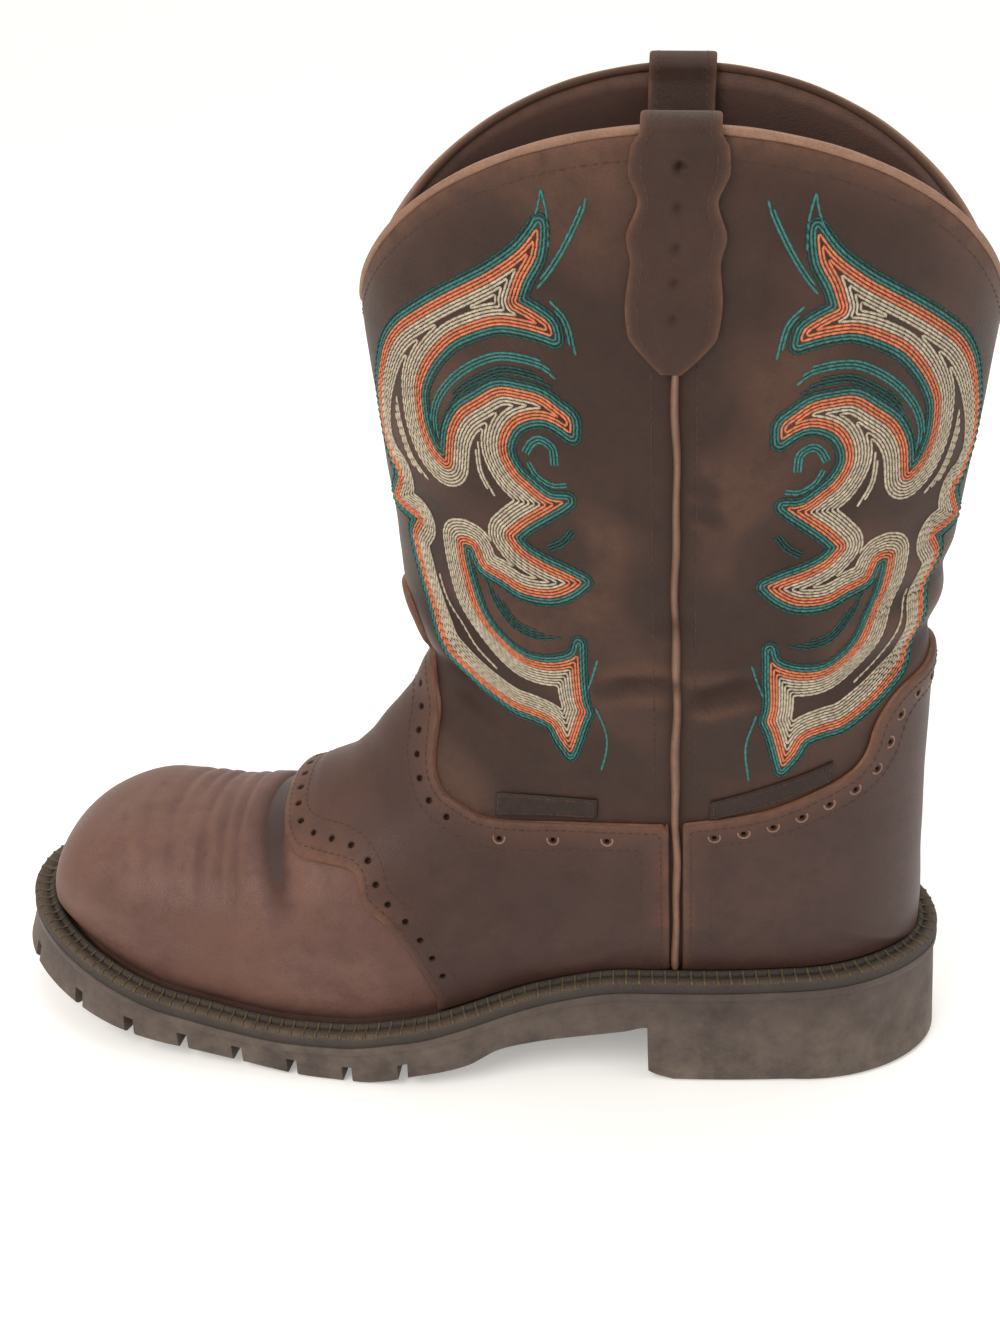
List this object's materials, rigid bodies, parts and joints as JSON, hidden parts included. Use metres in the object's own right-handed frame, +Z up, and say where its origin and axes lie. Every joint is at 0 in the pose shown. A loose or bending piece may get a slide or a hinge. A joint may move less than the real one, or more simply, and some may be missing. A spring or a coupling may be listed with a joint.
{
  "type": "western work boot",
  "caption": "Hollow leather western boot: round toe, scalloped shaft with pull straps, saddle and counter overlays, welted lugged sole with a block heel.",
  "frame": {"origin": "on the heel's ground face, on the sole's middle line, 39.5 mm in front of the rim's rear end", "axes": "+Z up, -X towards the toe, -Y towards the outer side of a left foot"},
  "size_m": [0.3224, 0.1129, 0.3135],
  "materials": {
    "sole_rubber": "grey-brown moulded rubber",
    "welt_leather": "dark brown leather",
    "insole_fabric": "dark brown fabric",
    "vamp_leather": "oiled reddish brown leather, worn",
    "overlay_leather": "oiled dark brown leather",
    "edge_leather": "light tan leather"
  },
  "bodies": {
    "root": {"outsole": "sole_rubber", "welt": "welt_leather", "insole": "insole_fabric", "upper": "vamp_leather", "saddle": "overlay_leather", "counter": "overlay_leather", "collar_binding": "edge_leather", "piping_outer": "edge_leather", "piping_inner": "edge_leather", "pull_strap_outer": "overlay_leather", "pull_strap_inner": "overlay_leather", "side_tab_front": "welt_leather", "side_tab_back": "welt_leather"}
  },
  "joints": []
}
